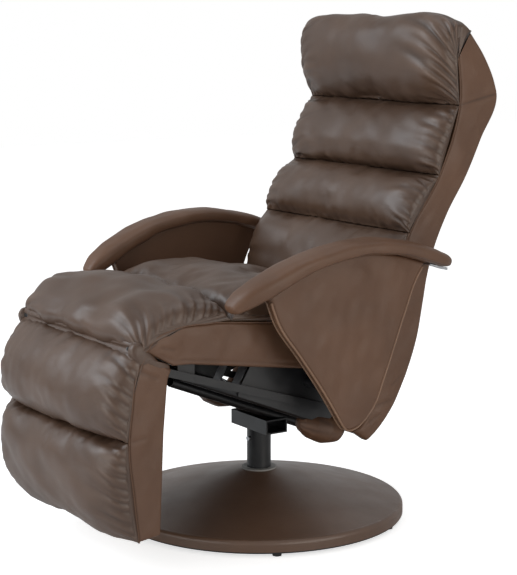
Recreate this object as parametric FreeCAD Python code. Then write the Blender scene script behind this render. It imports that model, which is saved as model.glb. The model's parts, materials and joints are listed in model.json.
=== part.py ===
import FreeCAD, Part
import math
import os

os.makedirs("parts", exist_ok=True)

Vector = FreeCAD.Vector

# The chair faces -Y, +Z is up and the origin is on the floor at the swivel axis.
# Outline points are (y, z) pairs: y from the swivel axis, z above the top of the swivel head.
# They run anticlockwise seen from +X, so a positive bow on an edge stands outwards.

# Base and column
base_radius = 300
rim_height = 24
rim_round = 9
dish_wall = 4
dish_rise = 64
foot_height = 7
foot_radius = 9
foot_count = 6
foot_inset = 15
foot_turn = 33
base_plate_thick = 3
base_plate_inset = 2
column_radius = 25
column_wall = 2.5
column_length = 171
dish_hole_gap = 1
collar_width = 11
collar_thick = 3
spindle_radius = 19
running_gap = 0.05
bush_length = 30
bush_flange = 1.95
lower_bush_lift = 20
spindle_overrun = 6
screw_drop = 18
screw_radius = 3
screw_head_radius = 5
screw_head_height = 3.5

# Swivel head and welded tube frame
head_length = 130
head_depth = 52
head_height = 30
head_wall = 3
tube_radius = 11
tube_wall = 1.6
tube_slope = 21.9
spine_spacing = 100
spine_sink = 2
spine_front = 262
spine_rear = 88
rail_offset = 193
cross_rise = 20
cross_front = 245
cross_rear = 8
rail_overhang_front = 90
rail_overhang_rear = 20

# Side plates, levers and rods lie side by side outwards from the rails
plate_thick = 4
layer_gap = 1
rod_thick = 5
panel_gap = 3
seat_panel_thick = 14
back_panel_thick = 24
back_panel_gap = 7

# Pivots and the linkage, (y, z) above the head's top
back_pivot = (130, 97)
knee_pivot = (-420, 218)
pivot_pin_radius = 5
knee_pin_radius = 4
link_pin_radius = 4
pin_head_radius = 8
pin_head_thick = 2.5
pin_overrun = 0.6
back_eye_radius = 16
knee_eye_radius = 8
link_eye_radius = 9
back_crank = 77
back_crank_angle = -101
knee_crank = 31.9
knee_crank_angle = -77.7
knee_slack = 3.3
link_end_pin_radius = 3
rod_width = 15

# Seat
seat_seam = [(-404, 214), (-388, 234), (-345, 250), (-256, 254), (92, 219)]
seat_bottom = [(-346, 182), (-309, 180.5), (-183, 161), (-51, 142), (92, 125)]
seat_board_thick = 15
dust_cover_thick = 1.5
dust_cover_inset = 12

# Backrest
back_seam = [(306, 771), (316, 638), (267, 501), (192, 389), (140, 227), (126, 139)]
back_tail = [(112, 87), (86, 24), (64, 1)]
back_rear = [(94, -20), (187, 96), (232, 246), (258, 352), (339, 495), (417, 656), (412, 677), (342, 784)]
back_rear_bows = [12, 6, -1.5, -4.5, -2, 2, 10]
back_board_thick = 15
rear_panel_thick = 8
rear_notch_width = 150
rear_notch_height = 48
bracket_height = 229
bracket_top_width = 18
bracket_clearance = 1.4

# Footrest
footrest_seam = [(-406, 207), (-426, 171), (-443, 49), (-424, -141)]
footrest_rear = [(-377, -135), (-367, 59), (-358, 158), (-350, 176)]
footrest_frame_wall = 12
footrest_frame_top = (-352, 171)
footrest_notch_depth = 38

# Arms
arm_panel_inner = 283
arm_panel_thick = 22
arm_panel_outline = [(4, 25), (48, 46), (89, 115), (139, 240), (196, 343), (-188, 290), (-108, 182), (-8, 35)]
stay_places = [(-25, 109), (60, 105)]
stay_radius = 10

# Latch lever, its grip and the tension spring
latch_pin_radius = 3
latch_hub_radius = 7
latch_thick = 6
latch_reach = 26
latch_angle = 46
latch_gap = 4
grip_radius = 5
grip_length = 18
spring_upper = (-101, 84)
spring_lower = (-63, 63)
spring_coil_radius = 6
spring_wire_radius = 1
spring_turns = 9
spring_stub = 2.5
hanger_width = 24
hanger_thick = 3

# Shares of a cushion's half width where its sections stand
crown_stations = [-1, -0.985, -0.95, -0.88, -0.76, -0.55, -0.28, 0, 0.28, 0.55, 0.76, 0.88, 0.95, 0.985, 1]

# Small parts and clearances
pocket_gap = 3.5
plate_overlap = 6
side_plate_front = 208
board_bolt_places = [-360, -300, -120, -20, 70]
bolt_radius = 4
bolt_length = 34
bolt_head_radius = 6.5
bolt_head_thick = 3.5
link_head_thick = 2
pouch_inner = 150
pouch_outer = 221
end_plate_width = 24
latch_place = 176
latch_rod_radius = 2.5
grip_overlap = 6
hanger_foot = 9
hanger_length = 200
spring_lead_share = 0.6

# Arm pad line, front to rear: y, z, inset from the arm's centre, share of the full width and thickness
arm_centre = 304
arm_half_width = 36
arm_half_thick = 19.5
arm_corner_share = 0.8
arm_panel_front = -180
arm_panel_rear = 205
arm_line = [
    (-259, 274, 28, 0.40, 0.42),
    (-234, 292, 23, 0.74, 0.78),
    (-194, 317, 16, 0.92, 1.00),
    (-142, 343, 9, 0.97, 0.92),
    (-86, 365, 4, 0.99, 0.82),
    (-22, 378, 1, 1.00, 0.76),
    (48, 383, 0, 1.00, 0.74),
    (118, 374, 0, 1.00, 0.74),
    (182, 356, 1, 0.97, 0.78),
    (224, 341, 3, 0.86, 0.66),
    (249, 332, 6, 0.56, 0.40),
]

# Derived places
plate_top = foot_height + base_plate_thick
rim_top = plate_top + rim_height
dish_top = rim_top + dish_rise
column_top = plate_top + column_length
head_bottom = column_top + bush_flange + running_gap
head_top = head_bottom + head_height
plate_inner = rail_offset + tube_radius
plate_outer = plate_inner + plate_thick
lever_inner = plate_outer + layer_gap
lever_outer = lever_inner + plate_thick
rod_inner = lever_outer + layer_gap
rod_outer = rod_inner + rod_thick
panel_inner = rod_outer + panel_gap
seat_half = panel_inner + seat_panel_thick
back_panel_inner = rod_outer + back_panel_gap
back_half = back_panel_inner + back_panel_thick
knee_crank_end = (
    knee_pivot[0] + knee_crank * math.cos(math.radians(knee_crank_angle)),
    knee_pivot[1] + knee_crank * math.sin(math.radians(knee_crank_angle)),
)
back_crank_end = (
    back_pivot[0] + back_crank * math.cos(math.radians(back_crank_angle)),
    back_pivot[1] + back_crank * math.sin(math.radians(back_crank_angle)),
)


def place(x, y, z):
    """Point of the seat, arms, back or footrest, with z above the swivel head's top."""
    return Vector(x, y, z + head_top)


def outline_edges(x, points, bows):
    """Closed outline in the plane at x; an edge with a bow is an arc that stands out by it."""
    edges = []
    for index, (y, z) in enumerate(points):
        next_y, next_z = points[(index + 1) % len(points)]
        start = place(x, y, z)
        end = place(x, next_y, next_z)
        bow = bows[index] if index < len(bows) else 0
        if abs(bow) < 0.05:
            edges.append(Part.LineSegment(start, end).toShape())
            continue
        length = math.hypot(next_y - y, next_z - z)
        outward = Vector(0, (next_z - z) / length, -(next_y - y) / length)
        middle = (start + end) * 0.5 + outward * bow
        edges.append(Part.Arc(start, middle, end).toShape())
    return edges


def slab(points, bows, x_low, x_high):
    """Flat piece of constant outline between two planes of constant x."""
    face = Part.Face(Part.Wire(outline_edges(x_low, points, bows)))
    return face.extrude(Vector(x_high - x_low, 0, 0))


def moved_line(points, thickness):
    """The line of points moved to its left by thickness."""
    moved = []
    last = len(points) - 1
    for index, (y, z) in enumerate(points):
        before = points[max(index - 1, 0)]
        after = points[min(index + 1, last)]
        first = (y - before[0], z - before[1]) if index > 0 else (after[0] - y, after[1] - z)
        second = (after[0] - y, after[1] - z) if index < last else first
        first_length = math.hypot(*first)
        second_length = math.hypot(*second)
        normal_y = -(first[1] / first_length + second[1] / second_length)
        normal_z = first[0] / first_length + second[0] / second_length
        size = math.hypot(normal_y, normal_z)
        cosine = size / 2
        shift = thickness / cosine / size
        moved.append((y + normal_y * shift, z + normal_z * shift))
    return moved


def shifted(points, offset_y, offset_z):
    return [(y + offset_y, z + offset_z) for y, z in points]


def polar(centre, radius, degrees):
    """Point at a distance and angle from a centre in the (y, z) plane."""
    turn = math.radians(degrees)
    return (centre[0] + radius * math.cos(turn), centre[1] + radius * math.sin(turn))


def rod_x(x_low, x_high, centre, radius):
    """Round bar along X about a (y, z) centre."""
    return Part.makeCylinder(radius, x_high - x_low, place(x_low, *centre), Vector(1, 0, 0))


def block(x_low, x_high, low, high):
    """Box between two x planes and two (y, z) corners."""
    corner = place(x_low, *low)
    return Part.makeBox(x_high - x_low, high[0] - low[0], high[1] - low[1], corner)


def both_sides(shape):
    return shape.mirror(Vector(0, 0, 0), Vector(1, 0, 0))


def group(shapes):
    return Part.makeCompound(shapes)


def save(name, shape):
    shape.exportStep("parts/" + name + ".step")


def save_pair(name, shape):
    """The left piece as modelled at +X, and its mirror image for the right side."""
    save(name + "_left", shape)
    save(name + "_right", both_sides(shape))


def ring(outer, inner, bottom, top):
    """Upright tube on the swivel axis."""
    outside = Part.makeCylinder(outer, top - bottom, Vector(0, 0, bottom))
    inside = Part.makeCylinder(inner, top - bottom, Vector(0, 0, bottom))
    return outside.cut(inside)


# Cushions

def blended(middle, edge, share):
    """Points between the middle section and the edge section; share 1 is the middle one."""
    return [
        (m[0] * share + e[0] * (1 - share), m[1] * share + e[1] * (1 - share))
        for m, e in zip(middle, edge)
    ]


def cushion(middle, edge, bows, half_width):
    """Crowned pad lofted along X: full in the middle, drawn in to the edge section at its sides."""
    wires = []
    for part_way in crown_stations:
        fullness = math.sqrt(1 - abs(part_way) ** 3.2) if abs(part_way) < 1 else 0
        points = blended(middle, edge, fullness)
        section_bows = [bow * (0.25 + 0.75 * fullness) for bow in bows]
        wires.append(Part.Wire(outline_edges(part_way * half_width, points, section_bows)))
    return Part.makeLoft(wires, True, False)


def without_hinges(shape, low, high):
    """Cushion with pockets for the hinge plates of both sides."""
    pocket = block(plate_inner - pocket_gap, rod_outer + pocket_gap, low, high)
    return shape.cut(pocket).cut(both_sides(pocket))


def headrest_cushion():
    middle = [(315, 642), (305, 774), (344, 787), (328, 809), (290, 817),
              (263, 790), (253, 739), (262, 689), (299, 644)]
    edge = [(315, 642), (305, 774), (341, 786.5), (331, 789), (300, 790),
            (289, 777), (287, 727), (293, 685), (309, 644)]
    bows = [0, 0, 3, 4, 5, 5, 5, 6, 0]
    return cushion(middle, edge, bows, back_half - 3)


def back_upper_cushion():
    middle = [(266, 503), (314.5, 636), (300, 638), (254, 593), (236, 551), (243, 505)]
    edge = [(266, 503), (314.5, 636), (309, 636), (281, 593), (265, 549), (259, 505)]
    return cushion(middle, edge, [0, 0, 6, 3, 6, 0], back_half - 3)


def back_middle_cushion():
    middle = [(191, 391), (265, 499), (248, 501), (204, 485), (178, 442), (180, 393)]
    edge = [(191, 391), (265, 499), (259, 499), (232, 477), (200, 437), (186, 393)]
    return cushion(middle, edge, [0, 0, 6, 4, 5, 0], back_half - 3)


def back_lower_cushion():
    middle = [(126, 144), (139, 227), (190, 387), (181, 389), (150, 372), (121, 312),
              (108, 237), (110, 159)]
    edge = [(126, 144), (139, 227), (190, 387), (185, 388), (166, 362), (143, 307),
            (126, 232), (115, 162)]
    return cushion(middle, edge, [0, 0, 0, 4, 4, 4, 3, 0], back_half - 3)


def seat_front_cushion():
    middle = [(-421, 222), (-404, 217), (-388, 236.5), (-345, 252.5), (-257, 256), (-224.5, 253),
              (-226, 290), (-300, 308), (-372, 300), (-424, 265), (-439, 240)]
    edge = [(-412, 218), (-404, 217), (-388, 236.5), (-345, 252.5), (-257, 256), (-224.5, 253),
            (-224.5, 261), (-300, 265), (-352, 260), (-396, 239), (-411, 224)]
    bows = [0, 0, 0, 0, 0, 0, 5, 5, 6, 3, 2]
    shape = cushion(middle, edge, bows, seat_half)
    return without_hinges(shape, (-432, 202), (-386, 239))


def seat_rear_cushion():
    middle = [(-221.5, 252.5), (92, 221), (97, 237), (97, 272), (20, 299), (-90, 319),
              (-170, 321), (-220, 292)]
    edge = [(-221.5, 252.5), (92, 221), (95, 225), (95, 232), (20, 239), (-90, 252),
            (-170, 260), (-221.5, 261)]
    return cushion(middle, edge, [0, 2, 3, 2, 2, 3, 6, 0], seat_half)


def footrest_upper_cushion():
    middle = [(-444, 52), (-427, 171), (-407, 207), (-421, 214), (-461, 191), (-491, 152),
              (-502, 117), (-498, 83), (-481, 56)]
    edge = [(-444, 52), (-427, 171), (-407, 207), (-411, 209), (-427, 187), (-439, 149),
            (-449, 117), (-453, 85), (-452, 54)]
    bows = [0, 0, 0, 3, 4, 3, 3, 4, 0]
    shape = cushion(middle, edge, bows, seat_half)
    return without_hinges(shape, (-432, 167), (-400, 227))


def footrest_lower_cushion():
    middle = [(-425, -141), (-444, 47), (-481, 51), (-502, 9), (-500, -43), (-482, -101),
              (-444, -145)]
    edge = [(-425, -141), (-444, 47), (-452, 49), (-457, 9), (-453, -43), (-443, -101),
            (-430, -139)]
    return cushion(middle, edge, [0, 0, 5, 4, 5, 6, 0], seat_half)


# Base and column

def base_dish():
    """Low cone with a rounded rim and a flat land round the column."""
    land = column_radius + collar_width
    hole = column_radius + dish_hole_gap
    inner = base_radius - dish_wall
    round_low = rim_top - rim_round
    turn = rim_round * (1 - math.sqrt(0.5))
    outer_round = Part.Arc(
        Vector(base_radius, 0, round_low),
        Vector(base_radius - turn, 0, rim_top - turn),
        Vector(base_radius - rim_round, 0, rim_top),
    )
    corners = [
        Vector(base_radius - rim_round, 0, rim_top),
        Vector(land, 0, dish_top),
        Vector(hole, 0, dish_top),
        Vector(hole, 0, dish_top - dish_wall),
        Vector(land, 0, dish_top - dish_wall),
        Vector(inner - rim_round, 0, rim_top - dish_wall),
        Vector(inner, 0, round_low - dish_wall),
        Vector(inner, 0, plate_top),
        Vector(base_radius, 0, plate_top),
        Vector(base_radius, 0, round_low),
    ]
    edges = [outer_round.toShape()]
    edges += [Part.LineSegment(a, b).toShape() for a, b in zip(corners[:-1], corners[1:])]
    face = Part.Face(Part.Wire(edges))
    return face.revolve(Vector(0, 0, 0), Vector(0, 0, 1), 360)


def base_plate():
    return Part.makeCylinder(base_radius - base_plate_inset, base_plate_thick, Vector(0, 0, foot_height))


def base_feet():
    """Ring of pads under the rim and one under the column."""
    feet = [Part.makeCylinder(foot_radius, foot_height)]
    reach = base_radius - foot_inset
    for index in range(foot_count):
        turn = math.radians(foot_turn + index * 360 / foot_count)
        corner = Vector(reach * math.cos(turn), reach * math.sin(turn), 0)
        feet.append(Part.makeCylinder(foot_radius, foot_height, corner))
    return group(feet)


def screw_axis():
    return Vector(0, -(column_radius - column_wall), column_top - screw_drop)


def column_tube():
    tube = ring(column_radius, column_radius - column_wall, plate_top, column_top)
    hole = Part.makeCylinder(screw_radius, column_wall * 2, screw_axis(), Vector(0, -1, 0))
    return tube.cut(hole)


def column_screw():
    shank = Part.makeCylinder(screw_radius, column_wall, screw_axis(), Vector(0, -1, 0))
    seat = screw_axis() + Vector(0, -column_wall, 0)
    head = Part.makeCylinder(screw_head_radius, screw_head_height, seat, Vector(0, -1, 0))
    return shank.fuse(head).removeSplitter()


def column_collar():
    return ring(column_radius + collar_width, column_radius + running_gap, dish_top, dish_top + collar_thick)


def upper_bush():
    bore = spindle_radius + running_gap
    sleeve = ring(column_radius - column_wall, bore, column_top - bush_length, column_top)
    flange = ring(column_radius, bore, column_top, column_top + bush_flange)
    return sleeve.fuse(flange).removeSplitter()


def lower_bush():
    bottom = plate_top + lower_bush_lift
    return ring(column_radius - column_wall, spindle_radius + running_gap, bottom, bottom + bush_length)


def swivel_spindle():
    bottom = plate_top + lower_bush_lift - spindle_overrun
    return Part.makeCylinder(spindle_radius, head_bottom + head_wall - bottom, Vector(0, 0, bottom))


# Swivel head and tube frame

def slope_step(distance, rise):
    """Move along the sloping tubes (backwards and down) and square to them (upwards)."""
    turn = math.radians(tube_slope)
    return (
        distance * math.cos(turn) + rise * math.sin(turn),
        -distance * math.sin(turn) + rise * math.cos(turn),
    )


def slope_point(distance, rise):
    """Point of the slope, measured from where a spine tube crosses the swivel axis."""
    along = slope_step(distance, rise)
    return (along[0], along[1] + tube_radius - spine_sink)


def sloping_bar(x, front, rear, rise, radius):
    direction = slope_step(1, 0)
    start = place(x, *slope_point(-front, rise))
    return Part.makeCylinder(radius, front + rear, start, Vector(0, *direction))


def sloping_tube(x, front, rear, rise):
    outside = sloping_bar(x, front, rear, rise, tube_radius)
    return outside.cut(sloping_bar(x, front, rear, rise, tube_radius - tube_wall))


def spine_bars():
    """Solid bars where the two spine tubes run, used to cut their saddles."""
    half = spine_spacing / 2
    return [sloping_bar(x, spine_front, spine_rear, 0, tube_radius) for x in (-half, half)]


def spine_tube():
    return sloping_tube(spine_spacing / 2, spine_front, spine_rear, 0)


def swivel_head():
    low = Vector(-head_length / 2, -head_depth / 2, head_bottom)
    outside = Part.makeBox(head_length, head_depth, head_height, low)
    inside = Part.makeBox(
        head_length,
        head_depth - 2 * head_wall,
        head_height - 2 * head_wall,
        low + Vector(0, head_wall, head_wall),
    )
    hole = Part.makeCylinder(spindle_radius, head_wall, Vector(0, 0, head_bottom))
    shape = outside.cut(inside).cut(hole)
    for bar in spine_bars():
        shape = shape.cut(bar)
    return shape


def rail_bar(x, radius):
    return sloping_bar(x, cross_front + rail_overhang_front, rail_overhang_rear, cross_rise, radius)


def cross_bar(distance):
    """Solid bar where a tube runs across the frame, at a distance up the slope."""
    return rod_x(-rail_offset, rail_offset, slope_point(-distance, cross_rise), tube_radius)


def cross_tube(distance):
    """Tube across the frame, saddled on the spine tubes and on the rails."""
    centre = slope_point(-distance, cross_rise)
    outside = cross_bar(distance)
    shape = outside.cut(rod_x(-rail_offset, rail_offset, centre, tube_radius - tube_wall))
    for bar in spine_bars() + [rail_bar(rail_offset, tube_radius), rail_bar(-rail_offset, tube_radius)]:
        shape = shape.cut(bar)
    return max(shape.Solids, key=lambda solid: solid.Volume)


def seat_rail(with_latch):
    shape = rail_bar(rail_offset, tube_radius).cut(rail_bar(rail_offset, tube_radius - tube_wall))
    if with_latch:
        shape = shape.cut(rod_x(rail_offset - tube_radius * 2, rail_offset, latch_pivot(), latch_pin_radius))
    return shape


# Side plates and brackets

def mark_hole(shape, centre, radius):
    """Hole along X through every layer between the board and the side panels."""
    return shape.cut(rod_x(plate_inner - 1, rod_outer + 1, centre, radius))


def plate(outline, eyes, inner, thickness):
    """Flat plate with round eyes; each eye is (centre, radius, hole radius)."""
    shape = slab(outline, [], inner, inner + thickness)
    for centre, radius, _ in eyes:
        shape = shape.fuse(rod_x(inner, inner + thickness, centre, radius))
    for centre, _, hole in eyes:
        shape = mark_hole(shape, centre, hole)
    return shape.removeSplitter()


def seam_height(y):
    """Height of the seat seam at a distance from the swivel axis."""
    for (y_low, z_low), (y_high, z_high) in zip(seat_seam[:-1], seat_seam[1:]):
        if y <= y_high:
            return z_low + (z_high - z_low) * (y - y_low) / (y_high - y_low)
    return seat_seam[-1][1]


def bolt_places():
    return [(y, seam_height(y) - seat_board_thick / 2) for y in board_bolt_places]


def side_plate():
    """Plate from the rail up to the seat board and back to the back pivot."""
    rear = seat_seam[-1]
    outline = [
        slope_point(-side_plate_front, cross_rise - plate_overlap),
        slope_point(rail_overhang_rear / 2, cross_rise - plate_overlap),
        (42, 35),
        (back_pivot[0], back_pivot[1] - back_eye_radius),
        (back_pivot[0] - back_eye_radius + 4, back_pivot[1] + 14),
        (rear[0], back_pivot[1] + 50),
        (rear[0], rear[1] - 4),
        (-150, seam_height(-150) - 4),
        (-158, 159),
        slope_point(-side_plate_front - 4, cross_rise + plate_overlap),
    ]
    shape = plate(outline, [(back_pivot, back_eye_radius, pivot_pin_radius)], plate_inner, plate_thick)
    for place_of_bolt in bolt_places():
        shape = mark_hole(shape, place_of_bolt, bolt_radius)
    return shape


def footrest_bracket():
    """Plate from the front end of the rail up to the board and forward to the knee pivot."""
    outline = [
        (knee_pivot[0] + 1, knee_pivot[1] - knee_eye_radius + 0.5),
        (-386, 214),
        (-326, 221),
        (-321, 161),
        (-286, 137),
        (-284, 227),
        (-262, seam_height(-262) - 24),
        (-262, seam_height(-262) - 3),
        (-345, seam_height(-345) - 3),
        (-388, seam_height(-388) - 3),
        (knee_pivot[0] - 1, knee_pivot[1] + knee_eye_radius - 0.3),
    ]
    shape = plate(outline, [(knee_pivot, knee_eye_radius, knee_pin_radius)], plate_inner, plate_thick)
    for place_of_bolt in bolt_places():
        shape = mark_hole(shape, place_of_bolt, bolt_radius)
    return shape


def back_seam_at(height):
    """Depth of the back's seam at a height, on the straight run between its two nearest points."""
    for (y_high, z_high), (y_low, z_low) in zip(back_seam, back_seam[1:]):
        if z_low <= height <= z_high:
            return y_low + (y_high - y_low) * (height - z_low) / (z_high - z_low)
    return back_seam[-1][0]


def back_bracket():
    """Bell crank of the backrest: an arm up the back board and a crank down to the link rod."""
    corner = back_seam_at(bracket_height) + bracket_clearance
    outline = [
        polar(back_crank_end, link_eye_radius - 1, 180),
        polar(back_crank_end, link_eye_radius - 1, 0),
        polar(back_pivot, back_eye_radius - 1, 0),
        (corner + bracket_top_width, bracket_height),
        (corner, bracket_height),
        (back_pivot[0] - 10, back_pivot[1] + 10),
        polar(back_pivot, back_eye_radius - 1, 180),
    ]
    eyes = [
        (back_pivot, back_eye_radius, pivot_pin_radius + running_gap),
        (back_crank_end, link_eye_radius, link_pin_radius + running_gap),
    ]
    return plate(outline, eyes, lever_inner, plate_thick)


def footrest_lever():
    """Plate on the edge of the footrest frame with the knee eye and the wide link eye."""
    wide = link_end_pin_radius + knee_slack
    outline = [
        (-423, 139),
        (-389, 139),
        (-389, 171),
        polar(knee_crank_end, wide + 3, 20),
        polar(knee_pivot, knee_eye_radius - 0.5, 10),
        polar(knee_pivot, knee_eye_radius - 0.5, 190),
        polar(knee_crank_end, wide + 3, 180),
    ]
    eyes = [
        (knee_pivot, knee_eye_radius, knee_pin_radius + running_gap),
        (knee_crank_end, wide + 4, wide),
    ]
    return plate(outline, eyes, lever_inner, plate_thick)


def link_rod():
    """Flat bar with an eye at each end, level with neither lever so that it swings past them."""
    run = (back_crank_end[0] - knee_crank_end[0], back_crank_end[1] - knee_crank_end[1])
    length = math.hypot(*run)
    side = (-run[1] / length * rod_width / 2, run[0] / length * rod_width / 2)
    outline = [
        (knee_crank_end[0] - side[0], knee_crank_end[1] - side[1]),
        (back_crank_end[0] - side[0], back_crank_end[1] - side[1]),
        (back_crank_end[0] + side[0], back_crank_end[1] + side[1]),
        (knee_crank_end[0] + side[0], knee_crank_end[1] + side[1]),
    ]
    eyes = [
        (knee_crank_end, link_eye_radius, link_end_pin_radius),
        (back_crank_end, link_eye_radius, link_pin_radius),
    ]
    return plate(outline, eyes, rod_inner, rod_thick)


def headed_pin(centre, radius, low, high, head_low, head_high, head_radius):
    shank = rod_x(low, high, centre, radius)
    return shank.fuse(rod_x(head_low, head_high, centre, head_radius)).removeSplitter()


def link_pins():
    start = lever_inner - layer_gap / 2
    head_end = rod_outer + link_head_thick
    pins = []
    for centre, radius, step in (
        (back_crank_end, link_pin_radius, 2),
        (knee_crank_end, link_end_pin_radius, 1),
    ):
        head = link_eye_radius - step
        pins.append(headed_pin(centre, radius, start, rod_outer, rod_outer, head_end, head))
    return group(pins + [both_sides(pin) for pin in pins])


def latch_pivot():
    return slope_point(-latch_place, cross_rise)


def pivot_pins():
    end = lever_outer + pin_overrun
    head = plate_inner - pin_head_thick
    pins = [
        headed_pin(back_pivot, pivot_pin_radius, plate_inner, end, head, plate_inner, pin_head_radius),
        headed_pin(knee_pivot, knee_pin_radius, plate_inner, end, head, plate_inner, pin_head_radius - 1),
    ]
    pins += [both_sides(pin) for pin in pins]
    rail_face = rail_offset - tube_radius
    outer = rail_face - latch_gap * 2 - latch_thick
    pins.append(
        headed_pin(
            latch_pivot(), latch_pin_radius, outer, rail_face + tube_wall,
            outer - pin_head_thick, outer, latch_hub_radius - 1,
        )
    )
    return group(pins)


def frame_bolts():
    bolts = []
    for centre in bolt_places():
        bolt = headed_pin(
            centre, bolt_radius, plate_outer - bolt_length, plate_outer,
            plate_outer, plate_outer + bolt_head_thick, bolt_head_radius,
        )
        bolts += [bolt, both_sides(bolt)]
    return group(bolts)


# Seat

def board_bottom():
    return moved_line(seat_seam[1:], -seat_board_thick)


def seat_board():
    outline = board_bottom() + list(reversed(seat_seam[1:]))
    shape = slab(outline, [], -plate_inner, plate_inner)
    for centre in bolt_places():
        hole = rod_x(plate_outer - bolt_length, plate_outer, centre, bolt_radius)
        shape = shape.cut(hole).cut(both_sides(hole))
    return shape


def dust_cover():
    """Thin cloth stapled under the seat board, cut out round the spring hangers."""
    upper = board_bottom()
    lower = moved_line(upper, -dust_cover_thick)
    half = plate_inner - dust_cover_inset
    shape = slab(lower + list(reversed(upper)), [], -half, half)
    for hanger in (spring_hanger(spring_upper, -1), spring_hanger(spring_lower, 1)):
        shape = shape.cut(hanger)
    return shape


def seat_side_panel():
    outline = seat_bottom + list(reversed(seat_seam))
    return slab(outline, [], panel_inner, seat_half)


def rear_pouch():
    """Soft gathered bag round the rear end of the rail; the tail of the back presses into it."""
    middle = [(-31, 34), (-8, 1), (34, -23), (70, -10), (66, 8), (30, 25), (-8, 40)]
    bows = [3, 4, 6, 5, 3, 2, 4]
    centre = (22, 8)
    wires = []
    stations = [pouch_inner, pouch_inner + 16, pouch_outer - 20, pouch_outer]
    for x, share in zip(stations, [0.72, 0.96, 1.0, 0.86]):
        points = blended(middle, [centre] * len(middle), share)
        wires.append(Part.Wire(outline_edges(x, points, [bow * share for bow in bows])))
    shape = Part.makeLoft(wires, True, False)
    for piece in (side_plate(), rail_bar(rail_offset, tube_radius), cross_bar(cross_rear)):
        shape = shape.cut(piece)
    return max(shape.Solids, key=lambda solid: solid.Volume)


# Arms

def arm_sections():
    """Stations of the arm pad: (y, z, centre x, half width, half thickness), front to rear."""
    stations = []
    for y, z, inset, width_share, thick_share in arm_line:
        stations.append(
            (y, z, arm_centre - inset, arm_half_width * width_share, arm_half_thick * thick_share)
        )
    return stations


def rounded_section(centre, across, up, half_width, half_thick):
    """Rounded rectangle square to the arm's line."""
    corner = half_thick * arm_corner_share
    turn = corner * math.sqrt(0.5)
    flat_width = half_width - corner
    flat_thick = half_thick - corner
    edges = []
    signs = [(1, 1), (-1, 1), (-1, -1), (1, -1)]
    for index, (s, t) in enumerate(signs):
        hub = centre + across * (s * flat_width) + up * (t * flat_thick)
        along = across * (s * corner)
        rise = up * (t * corner)
        diagonal = hub + across * (s * turn) + up * (t * turn)
        first, second = (along, rise) if s * t > 0 else (rise, along)
        edges.append(Part.Arc(hub + first, diagonal, hub + second).toShape())
        next_s, next_t = signs[(index + 1) % 4]
        next_hub = centre + across * (next_s * flat_width) + up * (next_t * flat_thick)
        next_first = across * (next_s * corner) if next_s * next_t > 0 else up * (next_t * corner)
        edges.append(Part.LineSegment(hub + second, next_hub + next_first).toShape())
    return Part.Wire(edges)


def arm_pad():
    stations = arm_sections()
    wires = []
    for index, (y, z, x, half_width, half_thick) in enumerate(stations):
        before = stations[max(index - 1, 0)]
        after = stations[min(index + 1, len(stations) - 1)]
        along = Vector(0, after[0] - before[0], after[1] - before[1])
        along.normalize()
        up = Vector(0, -along.z, along.y)
        wires.append(rounded_section(place(x, y, z), Vector(1, 0, 0), up, half_width, half_thick))
    return Part.makeLoft(wires, True, False)


def arm_panel():
    """Padded triangular side under the arm pad, trimmed to the pad's underside."""
    top = [(y, z) for y, z, *_ in reversed(arm_line) if arm_panel_front < y < arm_panel_rear]
    outline = arm_panel_outline[:5] + top + arm_panel_outline[5:]
    bows = [3, 5, 0, -3] + [0] * (len(top) + 2) + [1, 3]
    shape = slab(outline, bows, arm_panel_inner, arm_panel_inner + arm_panel_thick)
    shape = shape.cut(arm_pad())
    return max(shape.Solids, key=lambda solid: solid.Volume)


def arm_stays():
    stays = [rod_x(plate_outer, arm_panel_inner, centre, stay_radius) for centre in stay_places]
    return group(stays + [both_sides(stay) for stay in stays])


def arm_end_plates():
    outline = [(193, 333.5), (238, 319.5), (238, 330), (193, 343)]
    middle = arm_centre - 4
    tab = slab(outline, [], middle - end_plate_width / 2, middle + end_plate_width / 2)
    tab = tab.cut(arm_pad()).cut(arm_panel())
    tab = max(tab.Solids, key=lambda solid: solid.Volume)
    return group([tab, both_sides(tab)])


# Backrest

def back_board():
    outline = back_seam + list(reversed(moved_line(back_seam, back_board_thick)))
    shape = slab(outline, [], -back_panel_inner, back_panel_inner)
    low = (back_seam[-1][0] - 20, back_seam[-1][1] - 20)
    high = (back_seam[-1][0] + 80, bracket_height + 8)
    notch = block(lever_inner, back_panel_inner, low, high)
    return shape.cut(notch).cut(both_sides(notch))


def back_side_panel():
    front = back_seam + back_tail
    bows = [0] * (len(front) - 1) + [3] + back_rear_bows + [2]
    return slab(front + back_rear, bows, back_panel_inner, back_half)


def back_rear_panel():
    inner = moved_line(back_rear, rear_panel_thick)
    outline = list(reversed(inner)) + back_rear
    bows = [-bow for bow in reversed(back_rear_bows)] + [0] + back_rear_bows
    shape = slab(outline, bows, -back_panel_inner, back_panel_inner)
    low = (back_rear[0][0] - 60, back_rear[0][1] - 40)
    high = (back_rear[0][0] + 100, back_rear[0][1] + rear_notch_height)
    return shape.cut(block(-rear_notch_width / 2, rear_notch_width / 2, low, high))


# Footrest

def footrest_frame():
    """Four-sided frame, open at its ends, notched at the top for the levers and rods."""
    outline = footrest_seam[1:] + footrest_rear[:-1] + [footrest_frame_top]
    wire = Part.Wire(outline_edges(-panel_inner, outline, []))
    inner = wire.makeOffset2D(-footrest_frame_wall, 2)
    whole = Part.Face(wire).extrude(Vector(2 * panel_inner, 0, 0))
    shape = whole.cut(Part.Face(inner).extrude(Vector(2 * panel_inner, 0, 0)))
    low = (footrest_seam[1][0] - 20, footrest_frame_top[1] - footrest_notch_depth)
    high = (footrest_frame_top[0] + 20, footrest_frame_top[1] + 20)
    notch = block(lever_inner, panel_inner, low, high)
    return shape.cut(notch).cut(both_sides(notch))


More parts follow.
